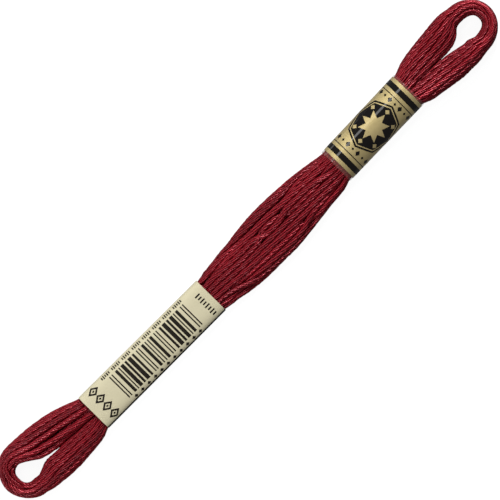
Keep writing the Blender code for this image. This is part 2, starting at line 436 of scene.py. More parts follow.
@dataclass(frozen=True)
class FlossFinish:
    """Mercerised cotton: two strands twisted together in each ply, with a silky shine. Shade between
    the strands and towards each run's middle is painted into its colour.
    """

    tiles: int  # tiles along each side of the map
    margin: float  # the bare edge of a tile, as a share of it
    painted_shade: Colour = (0.024, 0.0008, 0.0020)  # painted shade: between the strands, and on a ply's side towards the middle of its run
    bright: Colour = (0.345, 0.0088, 0.0188)
    tint: Colour = (1.0, 0.42, 0.48)  # the colour of its shine
    roughness: float = 0.35
    metallic: float = 0.3
    tones: Pair = (-0.26, 0.14)  # how much darker and lighter a run may be than the next
    inward_shade_fall: float = 1.5  # how fast the painted shade deepens on a ply towards the middle of its run
    strand_depth: float = 0.04
    fibre_turns: float = 7.0  # ridges of fibre round a ply
    fibre_tone: float = 0.05
    fibre_height: float = 0.03

    def tile(self, bench: Bench, place: object) -> tuple[object, object]:
        """Splits a coordinate of the map.

        Args:
            bench: The bench of the material.
            place: The coordinate.

        Returns:
            The number of its tile, and how far across that tile it lies, from 0 to 1.
        """
        scaled = bench.maths("MULTIPLY", place, float(self.tiles))
        number = bench.maths("FLOOR", scaled)
        inside = bench.maths("SUBTRACT", bench.maths("SUBTRACT", scaled, number), self.margin)
        return number, bench.maths("DIVIDE", inside, 1 - 2 * self.margin)

    def run_tone(self, bench: Bench, along_tile: object, round_tile: object) -> object:
        """Lifts or lowers the tone by chance, alike along the whole of a run.

        Args:
            bench: The bench of the material.
            along_tile: The number of the run's tile along the map.
            round_tile: The number of its tile up the map.

        Returns:
            The lift.
        """
        run = bench.add("ShaderNodeCombineXYZ")
        bench.fill(run, {"X": along_tile, "Y": round_tile})
        chance = bench.add("ShaderNodeTexWhiteNoise", noise_dimensions="2D")
        bench.fill(chance, {"Vector": run.outputs[0]})
        return bench.spread(chance.outputs["Value"], *self.tones)

    def build(self) -> bpy.types.Material:
        """Makes the material.

        Returns:
            The finish of the floss. It repeats on every twist, its tone changes by run, and shade in
            the grooves between strands and towards each run's middle is painted into its colour.
        """
        material, bench, shader = new_finish("mercerised floss")
        split = bench.add("ShaderNodeSeparateXYZ")
        bench.fill(split, {"Vector": bench.add("ShaderNodeUVMap", uv_map=FLOSS_MAP).outputs["UV"]})
        along_tile, along = self.tile(bench, split.outputs["X"])
        round_tile, around = self.tile(bench, split.outputs["Y"])
        turn = bench.maths("MULTIPLY", bench.maths("ADD", around, along), TURN)
        strand = bench.maths("ABSOLUTE", bench.maths("COSINE", turn))
        fibre_turn = bench.maths("MULTIPLY_ADD", around, self.fibre_turns * TURN, turn)
        fibres = bench.maths("COSINE", fibre_turn)
        # painted shade: the side of a ply that faces the middle of its run is darker, as if in shade
        facing = bench.maths("COSINE", bench.maths("MULTIPLY", around, TURN))
        outer = bench.maths("MULTIPLY_ADD", facing, -0.5, 0.5)
        outer = bench.maths("POWER", outer, self.inward_shade_fall)
        # painted shade in the grooves between a ply's two strands, with the run's chance tone added
        groove_shade_and_tone = bench.maths("MULTIPLY_ADD", strand, 0.5, 0.5)
        groove_shade_and_tone = bench.maths("MULTIPLY_ADD", fibres, self.fibre_tone, groove_shade_and_tone)
        groove_shade_and_tone = bench.maths("ADD", groove_shade_and_tone, self.run_tone(bench, along_tile, round_tile))
        shade = bench.mix(bench.maths("MULTIPLY", groove_shade_and_tone, outer), self.painted_shade, self.bright)
        height = bench.maths("MULTIPLY_ADD", fibres, self.fibre_height, strand)
        inputs = {
            "Base Color": shade,
            "Normal": bench.bump(height, self.strand_depth),
            "Roughness": self.roughness,
            "Metallic": self.metallic,
            "Specular IOR Level": 1.0,
            "Specular Tint": self.tint,
        }
        bench.fill(shader, inputs)
        return material


@dataclass(frozen=True)
class SkinFinish:
    """A printed or bare skin: paper, ink, foil or lacquer, a little uneven all over."""

    name: str
    dark: Colour
    light: Colour
    roughness: float
    metallic: float = 0.0
    coat: float = 0.0
    coat_roughness: float = 0.1
    clouds: float = 300.0
    depth: float = 0.01
    shine: float = 0.5
    sheen: float = 0.0  # the pale edge of a skin seen aslant
    sheen_roughness: float = 0.4
    unevenness: float = 0.12  # of its roughness, as a share of it

    def build(self) -> bpy.types.Material:
        """Makes the material.

        Returns:
            The finish, with the shared uneven skin at this one's scale.
        """
        material, bench, shader = new_finish(self.name)
        skin = bench.skin(self.clouds)
        tone = skin.outputs["Tone"]
        smooth, rough = self.roughness * (1 - self.unevenness), self.roughness * (1 + self.unevenness)
        inputs = {
            "Base Color": bench.mix(tone, self.dark, self.light),
            "Roughness": bench.spread(tone, smooth, rough),
            "Normal": bench.bump(skin.outputs["Height"], self.depth),
            "Metallic": self.metallic,
            "Specular IOR Level": self.shine,
            "Coat Weight": self.coat,
            "Coat Roughness": self.coat_roughness,
            "Sheen Weight": self.sheen,
            "Sheen Roughness": self.sheen_roughness,
        }
        bench.fill(shader, inputs)
        return material


@dataclass(frozen=True)
class ClearFilmFinish:
    """Clear plastic film: nearly see-through, with a clean gloss."""

    dark: Colour = (0.26, 0.12, 0.10)
    light: Colour = (0.34, 0.17, 0.14)
    cover: float = 0.16  # how much of what lies under it the film hides
    roughness: float = 0.08
    clouds: float = 200.0
    depth: float = 0.01

    def build(self) -> bpy.types.Material:
        """Makes the material.

        Returns:
            The finish of the film.
        """
        material, bench, shader = new_finish("clear film")
        skin = bench.skin(self.clouds)
        inputs = {
            "Base Color": bench.mix(skin.outputs["Tone"], self.dark, self.light),
            "Normal": bench.bump(skin.outputs["Height"], self.depth),
            "Roughness": self.roughness,
            "Alpha": self.cover,
            "Coat Weight": 1.0,
            "Coat Roughness": self.roughness,
        }
        bench.fill(shader, inputs)
        return material


@dataclass
class Circuit:
    """The closed way that the floss is wound along, cut into stations.

    A place at a station is how far it lies outwards from the crease or the eyelet's edge, and
    its height.
    """

    pitch: float = 1.5  # between stations along the straight halves
    bend_stations: int = 15
    seam_x: float = -34.6  # inside the long sleeve, where one turn becomes the next
    pinch: float = 0.34  # between a sleeve's outer face and the floss

    def __post_init__(self) -> None:
        """Lays the stations out, joins them into one closed way, and measures it."""
        count = round((RIGHT_BEND.x - LEFT_BEND.x) / self.pitch) + 1
        self.xs = np.linspace(LEFT_BEND.x, RIGHT_BEND.x, count)
        seam = int(np.argmin(np.abs(self.xs - self.seam_x)))
        high = [self.straight(x, Half.HIGH) for x in self.xs]
        low = [self.straight(x, Half.LOW) for x in self.xs]
        right = self.bend(RIGHT_BEND)
        left = self.bend(LEFT_BEND)
        lengths = (count - seam, len(right), count, len(left), seam)
        parts = np.split(np.arange(sum(lengths)), np.cumsum(lengths)[:-1])
        first, at_right, at_low, at_left, last = parts
        self.high_at = np.concatenate([last, first])
        self.low_at = at_low[::-1]
        self.bend_at = np.concatenate([at_right, at_left])
        way = high[seam:] + right + low[::-1] + left + high[:seam]
        self.count = len(way)
        self.inner, self.outward, self.outline, self.whole = (np.array(each) for each in zip(*way))
        self.area = self.half_areas()
        width, top = self.outline.max(1).T
        base = self.outline[:, :, 1].min(1)
        self.size = np.stack([width, top - base], axis=1)
        self.floor = np.stack([np.zeros(self.count), base], axis=1)

    def half_areas(self) -> np.ndarray:
        """Measures the floss in one half.

        Returns:
            Its area at each station, in square millimetres.
        """
        corners = self.outline
        after = np.roll(corners, -1, axis=1)
        cross = corners[..., 0] * after[..., 1] - corners[..., 1] * after[..., 0]
        return np.abs(cross.sum(1)) / 2 / np.where(self.whole, 2, 1)

    def pinched(self, sleeve: Sleeve, x: float) -> Section:
        """Works out the section of the bundle inside a sleeve.

        Args:
            sleeve: The sleeve.
            x: Its place along the skein.

        Returns:
            The section.
        """
        share = (x - sleeve.start_x) / (sleeve.end_x - sleeve.start_x)
        low = blend(sleeve.start_low, sleeve.end_low, share) + self.pinch
        high = blend(sleeve.start_high, sleeve.end_high, share) - self.pinch
        crease = blend(sleeve.start_crease, sleeve.end_crease, share)
        return Section(x, low, high, crease, self.pinch, sleeve.top - self.pinch, 0.0, sleeve.power)

    def sections(self) -> list[Section]:
        """Lists every section from the left fork to the right one.

        Returns:
            The sections, in order of x.
        """
        inside = []
        for sleeve in (LONG_SLEEVE, SHORT_SLEEVE):
            inside.append([self.pinched(sleeve, x) for x in (sleeve.start_x, sleeve.end_x)])
        return [*LEFT_SHOULDER, *inside[0], *BELLY, *inside[1], *RIGHT_SHOULDER]

    def straight(self, x: float, half: Half) -> Station:
        """Lays out a station on a straight half.

        Args:
            x: Its place along the skein.
            half: The half that it is on.

        Returns:
            The station.
        """
        outward = (0.0, float(half.value))
        if LEFT_SHOULDER[0].x <= x <= RIGHT_SHOULDER[-1].x:
            table = np.array(self.sections())
            section = Section(*[np.interp(x, table[:, 0], column) for column in table.T])
            outline, whole = self.bundle_outline(section, half)
            return Station((x, section.crease), outward, outline, whole)
        inner, outer, top, flat = self.leg_at(x, half)
        outline = self.leg_outline(abs(outer - inner), top, flat)
        return Station((x, inner), outward, outline, False)

    def leg_at(self, x: float, half: Half) -> tuple[float, float, float, float]:
        """Measures a leg.

        Args:
            x: The place along the skein.
            half: The half that the leg belongs to.

        Returns:
            Its inner edge, outer edge, top and flatness there.
        """
        fork = LEFT_SHOULDER[0] if x < 0 else RIGHT_SHOULDER[-1]
        bend = LEFT_BEND if x < 0 else RIGHT_BEND
        fork_pair = LegPair(fork.x, fork.low, fork.crease, fork.crease, fork.high, fork.top, 1.0)
        last_pair = LegPair(
            bend.x,
            bend.outer_y - bend.outer_half,
            bend.inner_y - bend.inner_half,
            bend.inner_y + bend.inner_half,
            bend.outer_y + bend.outer_half,
            bend.top,
            0.0,
        )
        table = np.array([fork_pair, *(LEFT_LEGS if x < 0 else RIGHT_LEGS), last_pair])
        table = table[np.argsort(table[:, 0])]
        pair = LegPair(*[np.interp(x, table[:, 0], column) for column in table.T])
        if half is Half.HIGH:
            return pair.high_inner, pair.high_outer, pair.top, pair.flat
        return pair.low_inner, pair.low_outer, pair.top, pair.flat

    def half_outline(self, section: Section, half: Half, corners: int) -> np.ndarray:
        """Draws one half of the bundle, from its top crease to its bottom one.

        Args:
            section: The bundle's section.
            half: Which half.
            corners: How many corners it gets.

        Returns:
            How far outwards and how high each corner is.
        """
        edge = section.high if half is Half.HIGH else section.low
        reach = abs(edge - section.crease)
        share = np.linspace(1.0, -1.0, corners)
        whole_across, whole_up = superellipse(share * math.pi / 2, section.power)
        leg_across, leg_up = superellipse(share * LEG_TURN, LEG_POWER)
        radius = reach / (1 - leg_across[0])
        out = blend(whole_across * reach, reach - radius * (1 - leg_across), section.parting)
        out = reach - (reach - out) * (1 + section.parting * CREASE_LAP / reach)
        up = blend(whole_up, leg_up, section.parting)
        return np.stack([out, resting(up, section.base, section.top)], axis=1)

    def bundle_outline(self, section: Section, half: Half) -> tuple[np.ndarray, bool]:
        """Draws what the floss of one half keeps within.

        Args:
            section: The bundle's section.
            half: Which half.

        Returns:
            The outline, and whether it is the whole bundle's.
        """
        if section.parting > WHOLE_UNTIL:
            return self.half_outline(section, half, OUTLINE_CORNERS), False
        other = Half.LOW if half is Half.HIGH else Half.HIGH
        joined = section._replace(parting=0.0)
        own = self.half_outline(joined, half, OUTLINE_CORNERS // 2)
        far = self.half_outline(joined, other, OUTLINE_CORNERS // 2) * (-1, 1)
        return np.concatenate([own, far[::-1]]), True

    def leg_outline(self, width: float, top: float, flat: float) -> np.ndarray:
        """Draws a leg of a loop.

        Args:
            width: Its width.
            top: Its top.
            flat: How flat its inner wall is pressed.

        Returns:
            How far out from its inner edge and how high each corner is.
        """
        wall_reach = blend(1.0, -float(superellipse(np.array(LEG_TURN), LEG_POWER)[0]), flat)
        radius = width / (1 + wall_reach)
        angle = LEG_TURN - TURN * np.arange(OUTLINE_CORNERS) / OUTLINE_CORNERS
        across, up = superellipse(angle, LEG_POWER)
        out = width - radius + np.maximum(across, -wall_reach) * radius
        return np.stack([out, resting(up, 0.0, top)], axis=1)

    def bend(self, bend: Bend) -> list[Station]:
        """Lays out the stations round the end of a loop.

        Args:
            bend: The end of the loop.

        Returns:
            The stations, in the way's own direction.
        """
        side = math.copysign(1, bend.x)
        stations = []
        for step in range(1, self.bend_stations + 1):
            angle = np.array(side * (math.pi / 2 - math.pi * step / (self.bend_stations + 1)))
            edges = []
            for y, reach, half, power in (
                (bend.inner_y, bend.inner_reach, bend.inner_half, EYELET_POWER),
                (bend.outer_y, bend.outer_reach, bend.outer_half, bend.outer_power),
            ):
                along, across = superellipse(angle, power)
                edges.append(np.array((bend.x + side * reach * along, y + half * across)))
            inner, outer = edges
            width = float(np.linalg.norm(outer - inner))
            outline = self.leg_outline(width, bend.top, 0.0)
            stations.append(Station(inner, (outer - inner) / width, outline, False))
        return stations


@dataclass
class CoilPacking:
    """Finds a place for every run, and then for every ply, at every station of the circuit."""

    circuit: Circuit
    turns: int = 18
    plies: int = 6
    seed: int = 23
    slot_rounds: int = 400
    run_rounds: int = 220
    ply_rounds: int = 45
    run_fill: float = 0.93  # the distance between runs, as a share of an even packing's
    run_bulk: float = 0.10  # the spread of thickness from run to run
    run_inset: float = 0.42  # a run's depth inside the outline, in distances between runs
    run_smoothing: float = 0.35
    wander: float = 0.55  # how far runs stray from their even places
    wander_reach: int = 16  # in stations
    ply_fill: float = 0.97  # a run's width, as a share of an even packing's
    ply_press: float = 0.92  # how tight the plies of a run lie
    ply_gap: Pair = (0.38, 0.52)  # between plies of one run, tight and loose
    ply_room: float = 0.12  # how much more there is between plies of two runs
    ply_ring: float = 0.95  # how far the plies lie from the middle of their run, in their gaps
    ply_radius: float = 0.52  # in their gaps
    ply_smoothing: float = 0.25
    twist_length: float = 12.5  # the length in which the plies of a run turn once
    twist_spread: float = 0.25  # how much tighter and looser the twist gets along a run
    twist_reach: int = 12  # in stations
    push: float = 0.32  # the share of an overlap that a round of packing takes away
    hold: float = 0.06  # how strongly a ply is held to its place in the twist
    belly_turn: float = 0.34  # how far the bundle is turned at each end of the belly, in radians

    def __post_init__(self) -> None:
        """Starts the seeded draws, and takes the measures that both packings share."""
        self.draw = np.random.default_rng(self.seed)
        corners = self.circuit.outline
        edge = np.roll(corners, -1, axis=1) - corners
        length = np.linalg.norm(edge, axis=2, keepdims=True)
        normal = np.stack([-edge[..., 1], edge[..., 0]], axis=2) / np.maximum(length, 1e-9)
        centre = corners.mean(1, keepdims=True)
        outwards = ((corners - centre) * normal).sum(2).mean(1)
        self.normal = (normal * np.sign(outwards)[:, None, None]).astype(np.float32)
        self.offset = (self.normal * corners).sum(2).astype(np.float32)
        self.offset = np.where(length[..., 0] > 1e-6, self.offset, np.float32(FAR_OUT))
        even = np.sqrt(CLOSE_PACKING * self.circuit.area / self.turns)
        self.run_gap = self.run_fill * even
        loose = self.ply_fill * even / math.sqrt(self.plies)
        self.gap = np.clip(self.ply_press * loose, *self.ply_gap)
        self.between = self.gap + self.ply_room

    def contain(self, places: np.ndarray, inset: np.ndarray) -> np.ndarray:
        """Moves places that are outside the outlines back inside.

        Args:
            places: (station, strand, 2) places.
            inset: The least depth inside the outline at each station.

        Returns:
            The places, all inside.
        """
        depth = np.einsum("skd,smd->skm", places, self.normal) - self.offset[:, None, :]
        worst = depth.argmax(2)
        excess = np.take_along_axis(depth, worst[..., None], 2)[..., 0] + inset[:, None]
        way = np.take_along_axis(self.normal, worst[..., None], 1)
        return places - way * np.maximum(excess, 0)[..., None]

    @staticmethod
    def push_apart(places: np.ndarray, gap: np.ndarray, strength: float) -> np.ndarray:
        """Works out the moves that part strands which lie closer than their gap.

        Args:
            places: (station, strand, 2) places.
            gap: The least distance between each pair, broadcast to (station, strand, strand).
            strength: The share of an overlap that one round takes away.

        Returns:
            (station, strand, 2) moves.
        """
        apart = places[:, :, None] - places[:, None]
        distance = np.sqrt((apart**2).sum(3)) + np.float32(1e-5)
        overlap = np.maximum(gap - distance, 0)
        return strength * (apart * (overlap / distance)[..., None]).sum(2)

    def settle(
        self,
        wound: np.ndarray,
        gaps: tuple[np.ndarray, np.ndarray],
        inset: np.ndarray,
        rounds: int,
        smoothing: float,
        pull: np.ndarray | None = None,
    ) -> np.ndarray:
        """Packs strands at every station while each stays smooth along its length.

        Args:
            wound: (bundle, turn, station, 2) places in the order of winding.
            gaps: The least distances at the straight stations and round the bends.
            inset: The least depth inside the outline at each station.
            rounds: How many rounds of packing.
            smoothing: The share by which each place follows its neighbours along the strand.
            pull: Where each strand would rather be, if anywhere.

        Returns:
            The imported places, in the same order.
        """
        way = self.circuit
        bundles, turns, stations, _ = wound.shape
        size, floor = way.size.astype(np.float32), way.floor.astype(np.float32)
        crease = way.inner[way.high_at, 1].astype(np.float32)[:, None]
        low_crease = way.inner[way.low_at, 1].astype(np.float32)[:, None]
        strands = bundles * turns
        rest = floor if pull is None else pull
        for _ in range(rounds):
            flat = wound.reshape(strands, stations, 2).transpose(1, 0, 2).copy()
            high, low = flat[way.high_at], flat[way.low_at]
            both = np.concatenate([high, low], axis=1)
            both[:, :strands, 0] = crease + high[..., 0]
            both[:, strands:, 0] = low_crease - low[..., 0]
            moves = self.push_apart(both, gaps[0], self.push)
            flat[way.high_at] += moves[:, :strands]
            moves[:, strands:, 0] *= -1
            flat[way.low_at] += moves[:, strands:]
            flat[way.bend_at] += self.push_apart(flat[way.bend_at], gaps[1], self.push)
            flat = self.contain(flat, inset)
            wound = flat.transpose(1, 0, 2).reshape(bundles, turns, stations, 2)
            even = ((wound - rest) / size).reshape(bundles, turns * stations, 2)
            middle = (even[:, :-2] + even[:, 2:]) / 2
            even[:, 1:-1] += smoothing * (middle - even[:, 1:-1])
            wound = even.reshape(bundles, turns, stations, 2) * size + rest
            if pull is not None:
                wound += self.hold * (pull - wound)
        flat = wound.reshape(strands, stations, 2).transpose(1, 0, 2)
        flat = self.contain(flat, inset)
        return flat.transpose(1, 0, 2).reshape(bundles, turns, stations, 2)

    def slots(self) -> np.ndarray:
        """Spreads the runs of one half evenly.

        Returns:
            (turn, 2) places as shares of the half, each next to the one after it.
        """
        places = self.draw.random((self.turns, 2)) * SLOT_SPREAD + SLOT_START
        for _ in range(self.slot_rounds):
            moves = self.push_apart(places[None], np.array(SLOT_GAP), SLOT_PUSH)[0]
            places = np.clip(places + moves, SLOT_EDGE, 1 - SLOT_EDGE)
        left = list(range(self.turns))
        order = [left.pop(int(np.argmin(places[:, 0] + places[:, 1])))]
        while left:
            steps = np.linalg.norm(places[left] - places[order[-1]], axis=1)
            order.append(left.pop(int(np.argmin(steps))))
        return places[order]

    def drift(self, length: int, reach: int) -> np.ndarray:
        """Draws a smooth random path for a strand.

        Args:
            length: Its number of places.
            reach: The places over which it stays alike.

        Returns:
            (place, 2) values of unit spread.
        """
        values = self.draw.standard_normal((length + 4 * reach, 2))
        kernel = np.hanning(2 * reach + 1)
        smooth = [np.convolve(values[:, axis], kernel, "same") for axis in (0, 1)]
        path = np.stack(smooth, axis=1)[2 * reach : 2 * reach + length]
        return path / path.std()

    def turned(self, even: np.ndarray) -> np.ndarray:
        """Turns the bundle a little along the belly, and back again inside the sleeves.

        Args:
            even: (turn, station, 2) places as shares of a half.

        Returns:
            The places, still as shares.
        """
        way = self.circuit
        stops = (LONG_SLEEVE.start_x, LONG_SLEEVE.end_x, SHORT_SLEEVE.start_x, SHORT_SLEEVE.end_x)
        turn = np.interp(way.inner[:, 0], stops, (0.0, self.belly_turn, -self.belly_turn, 0.0))
        side = np.where(np.isin(np.arange(way.count), way.low_at), -1.0, 1.0)
        across, up = side * even[..., 0], 2 * even[..., 1] - 1
        swung = across * np.cos(turn) + up * np.sin(turn)
        risen = up * np.cos(turn) - across * np.sin(turn)
        return np.stack([side * swung, (risen + 1) / 2], axis=2)

    def runs(self) -> np.ndarray:
        """Packs the runs.

        Returns:
            (1, turn, station, 2) places.
        """
        way = self.circuit
        slots = self.slots()
        x = way.inner[:, 0]
        share = ease((x - LONG_SLEEVE.start_x) / (LONG_SLEEVE.end_x - LONG_SLEEVE.start_x))
        in_high = np.zeros(way.count, bool)
        in_high[way.high_at] = True
        before_seam = in_high & (np.arange(way.count) > way.low_at.max())
        after_seam = in_high & ~before_seam
        following = np.vstack([slots[1:], slots[-1:]])
        leading = np.vstack([slots[:1], slots[:-1]])
        even = np.repeat(slots[:, None], way.count, axis=1)
        step_on = (following - slots)[:, None] * share[None, :, None]
        step_in = (leading - slots)[:, None] * (1 - share)[None, :, None]
        even += np.where(before_seam[None, :, None], step_on, 0)
        even += np.where(after_seam[None, :, None], step_in, 0)
        wound = self.turned(even) * way.size + way.floor
        drift = self.drift(self.turns * way.count, self.wander_reach)
        wound += self.wander * drift.reshape(wound.shape)
        chance = self.draw.standard_normal(2 * self.turns).clip(-MOST_CHANCE, MOST_CHANCE)
        bulk = 1 + self.run_bulk * chance
        pair = (bulk[:, None] + bulk[None]) / 2
        straight_gap = self.run_gap[way.high_at, None, None] * pair
        bend_gap = self.run_gap[way.bend_at, None, None] * pair[: self.turns, : self.turns]
        gaps = (straight_gap.astype(np.float32), bend_gap.astype(np.float32))
        inset = (self.run_inset * self.run_gap).astype(np.float32)
        wound = wound[None].astype(np.float32)
        return self.settle(wound, gaps, inset, self.run_rounds, self.run_smoothing)

    def laid_plies(self) -> tuple[np.ndarray, np.ndarray, np.ndarray]:
        """Packs the plies.

        Returns:
            (ply, turn, station, 2) places, the (turn, station, 2) middles of their runs, and the
            radius of the plies at each station.
        """
        way = self.circuit
        centre = self.runs()[0]
        total = self.turns * way.count
        rate = TURN * self.circuit.pitch / self.twist_length
        drift = self.drift(total, self.twist_reach)[:, 0]
        phase = np.cumsum(rate * (1 + self.twist_spread * drift)).reshape(self.turns, way.count)
        ring = np.empty((self.plies, self.turns, way.count, 2), np.float32)
        for ply in range(self.plies):
            angle = phase + TURN * ply / self.plies
            ring[ply, ..., 0] = centre[..., 0] + self.gap * self.ply_ring * np.cos(angle)
            ring[ply, ..., 1] = centre[..., 1] + self.gap * self.ply_ring * np.sin(angle)
        run_of = np.tile(np.arange(self.turns), self.plies)
        both = np.concatenate([run_of, run_of + self.turns])
        gaps = []
        for at, runs in ((way.high_at, both), (way.bend_at, run_of)):
            alike = runs[:, None] == runs[None]
            inner, outer = self.gap[at, None, None], self.between[at, None, None]
            gaps.append(np.where(alike[None], inner, outer).astype(np.float32))
        radius = self.gap * self.ply_radius
        inset = radius.astype(np.float32)
        places = self.settle(ring, tuple(gaps), inset, self.ply_rounds, self.ply_smoothing, ring)
        return places, centre, radius


class Tube(NamedTuple):
    """The mesh of a ply along some of its turns."""

    corners: np.ndarray
    faces: np.ndarray
    spots: np.ndarray  # where each corner of each face lies on the map


@dataclass
class FlossHank:
    """The wound floss, as a few pieces of whole turns."""

    circuit: Circuit
    packing: CoilPacking
    pieces: int = 4
    sides: int = 6
    twist: float = 3.9  # the length in which the two strands of a ply turn once
    rings: int = 3  # to a twist, and twice as many round the bends
    bend_room: float = 5.0  # how far from a bend the closer rings start
    measures: int = 8  # steps from one station to the next, when a ply is measured
    tiles: int = 7
    margin: float = 0.04
    cap_radius: float = 0.3  # of an end's round on its tile

    def ply_path(self, places: np.ndarray) -> np.ndarray:
        """Sets one ply out in space.

        Args:
            places: Its (turn, station, 2) places.

        Returns:
            Its points, at every station that it passes.
        """
        outwards = places.reshape(-1, 2)
        turns = self.packing.turns
        inner = np.tile(self.circuit.inner, (turns, 1))
        outward = np.tile(self.circuit.outward, (turns, 1))
        flat = inner + outward * outwards[:, :1]
        return np.column_stack([flat, outwards[:, 1]])

    @staticmethod
    def through(points: np.ndarray, at: np.ndarray) -> np.ndarray:
        """Reads a smooth curve through points.

        Args:
            points: The points.
            at: Where to read it, 1 from each point to the next.

        Returns:
            The points read.
        """
        last = len(points) - 1
        first = np.clip(np.floor(at).astype(int), 0, last - 1)
        share = (at - first)[:, None]
        before, after = np.maximum(first - 1, 0), np.minimum(first + 2, last)
        a, b, c, d = points[before], points[first], points[first + 1], points[after]
        return 0.5 * (
            2 * b
            + (c - a) * share
            + (2 * a - 5 * b + 4 * c - d) * share**2
            + (3 * b - a - 3 * c + d) * share**3
        )

    def stops(self, path: np.ndarray) -> tuple[np.ndarray, np.ndarray]:
        """Works out where along a ply its rings stand.

        Args:
            path: The ply's points.

        Returns:
            The places in stations, and the share of a twist at which each step starts.
        """
        fine = np.linspace(0, len(path) - 1, self.measures * (len(path) - 1) + 1)
        dense = self.through(path, fine)
        steps = np.linalg.norm(np.diff(dense, axis=0), axis=1)
        length = np.concatenate([[0], np.cumsum(steps)])
        whole = np.arange(0, length[-1] - self.twist, self.twist)
        start = np.interp(whole, length, fine)
        x = np.interp(start, np.arange(len(path)), path[:, 0])
        curved = (x < LEFT_BEND.x + self.bend_room) | (x > RIGHT_BEND.x - self.bend_room)
        distance, share = [], []
        for number in range(2 * self.rings):
            twists = whole[curved] if number % 2 else whole
            distance.append(twists + self.twist * number / (2 * self.rings))
            share.append(np.full(len(twists), number / (2 * self.rings)))
        every = np.concatenate(distance)
        order = np.argsort(every)
        return np.interp(every[order], length, fine), np.concatenate(share)[order]

    def ring_corners(self, points: np.ndarray, centre: np.ndarray, radius: np.ndarray) -> np.ndarray:
        """Lays out the rings of a ply, each from the side that faces the middle of its run.

        Args:
            points: The middles of the rings.
            centre: The middle of the run beside each ring.
            radius: The radius of each ring.

        Returns:
            (corner, 3) places, ring by ring.
        """
        forward = np.gradient(points, axis=0)
        forward /= np.linalg.norm(forward, axis=1, keepdims=True)
        inwards = centre - points
        inwards -= forward * (inwards * forward).sum(1, keepdims=True)
        inwards /= np.linalg.norm(inwards, axis=1, keepdims=True)
        aside = np.cross(forward, inwards)
        angle = TURN * np.arange(self.sides) / self.sides
        towards = np.cos(angle)[None, :, None] * inwards[:, None]
        ring = towards + np.sin(angle)[None, :, None] * aside[:, None]
        return (points[:, None] + radius[:, None, None] * ring).reshape(-1, 3)

    def ring_faces(self, rings: int) -> np.ndarray:
        """Joins each ring of a ply to the next by four-sided faces.

        Args:
            rings: How many rings there are.

        Returns:
            (face, 4) numbers of corners.
        """
        base = np.arange(rings - 1)[:, None] * self.sides
        near = base + np.arange(self.sides)[None]
        far = base + (np.arange(self.sides)[None] + 1) % self.sides
        faces = np.stack([near, far, far + self.sides, near + self.sides], axis=2)
        return faces.reshape(-1, 4)

    def ring_map(self, share: np.ndarray, run: np.ndarray) -> np.ndarray:
        """Lays the faces of a ply out on the tiles of its runs.

        Args:
            share: The share of a twist at which each ring stands.
            run: The run that each ring is on.

        Returns:
            (face, 4, 2) places on the map.
        """
        start = share[:-1]
        end = np.where(share[1:] > 0, share[1:], 1.0)
        low = np.arange(self.sides) / self.sides
        high = low + 1 / self.sides
        along = np.stack([start, start, end, end], axis=1)[:, None, :]
        around = np.stack([low, high, high, low], axis=1)[None]
        local = np.stack(np.broadcast_arrays(along, around), axis=3)
        local = local * (1 - 2 * self.margin) + self.margin
        tile = np.stack([run % self.tiles, run // self.tiles], axis=1) / self.tiles
        return (tile[:-1, None, None] + local / self.tiles).reshape(-1, 4, 2)

    def piece(self, name: str, tubes: list[Tube], finish: bpy.types.Material) -> bpy.types.Object:
        """Joins plies into one mesh, with both ends of each closed.

        Args:
            name: The piece's name.
            tubes: The mesh of each ply.
            finish: Its material.

        Returns:
            The new object.
        """
        faces, caps = [], []
        shift = 0
        for tube in tubes:
            faces += (tube.faces + shift).tolist()
            first = [shift + side for side in range(self.sides)]
            shift += len(tube.corners)
            caps += [first[::-1], [shift - self.sides + side for side in range(self.sides)]]
        mesh = bpy.data.meshes.new(name)
        corners = np.concatenate([tube.corners for tube in tubes])
        mesh.from_pydata(corners * MM, [], faces + caps)
        layer = mesh.uv_layers.new(name=FLOSS_MAP)
        spots = np.concatenate([tube.spots for tube in tubes]).reshape(-1, 2)
        angle = TURN * np.arange(self.sides) / self.sides
        disc = 0.5 + self.cap_radius * np.stack([np.cos(angle), np.sin(angle)], axis=1)
        disc /= self.tiles
        spots = np.concatenate([spots, np.tile(disc, (len(caps), 1))])
        layer.data.foreach_set("uv", spots.ravel())
        mesh.materials.append(finish)
        mesh.shade_smooth()
        made = bpy.data.objects.new(name, mesh)
        bpy.context.collection.objects.link(made)
        return made

    def build(self) -> list[bpy.types.Object]:
        """Packs the coil and makes its pieces.

        Returns:
            The pieces, in the order of winding.
        """
        places, centre, radius = self.packing.laid_plies()
        middle = self.ply_path(centre)
        finish = FlossFinish(self.tiles, self.margin).build()
        stations = self.circuit.count
        turns = self.packing.turns
        radii = np.tile(radius, turns)
        # each turn is two runs, and the second starts on the -Y side, opposite the seam
        switch = self.circuit.low_at[np.argmin(np.abs(self.circuit.xs - self.circuit.seam_x))]
        tubes: list[list[Tube]] = [[] for _ in range(self.pieces)]
        for ply in range(self.packing.plies):
            path = self.ply_path(places[ply])
            at, share = self.stops(path)
            points = self.through(path, at)
            centres = self.through(middle, at)
            thickness = np.interp(at, np.arange(len(radii)), radii)
            turn = np.minimum((at // stations).astype(int), turns - 1)
            run = 2 * turn + (at - turn * stations > switch)
            group = turn * self.pieces // turns
            for number in range(self.pieces):
                own = np.flatnonzero(group == number)
                own = own[np.argmax(share[own] == 0) :]  # from the start of a twist
                corners = self.ring_corners(points[own], centres[own], thickness[own])
                spots = self.ring_map(share[own], run[own])
                tubes[number].append(Tube(corners, self.ring_faces(len(own)), spots))
        made = []
        for number, parts in enumerate(tubes, start=1):
            made.append(self.piece(f"floss_turns_{number}", parts, finish))
        return made


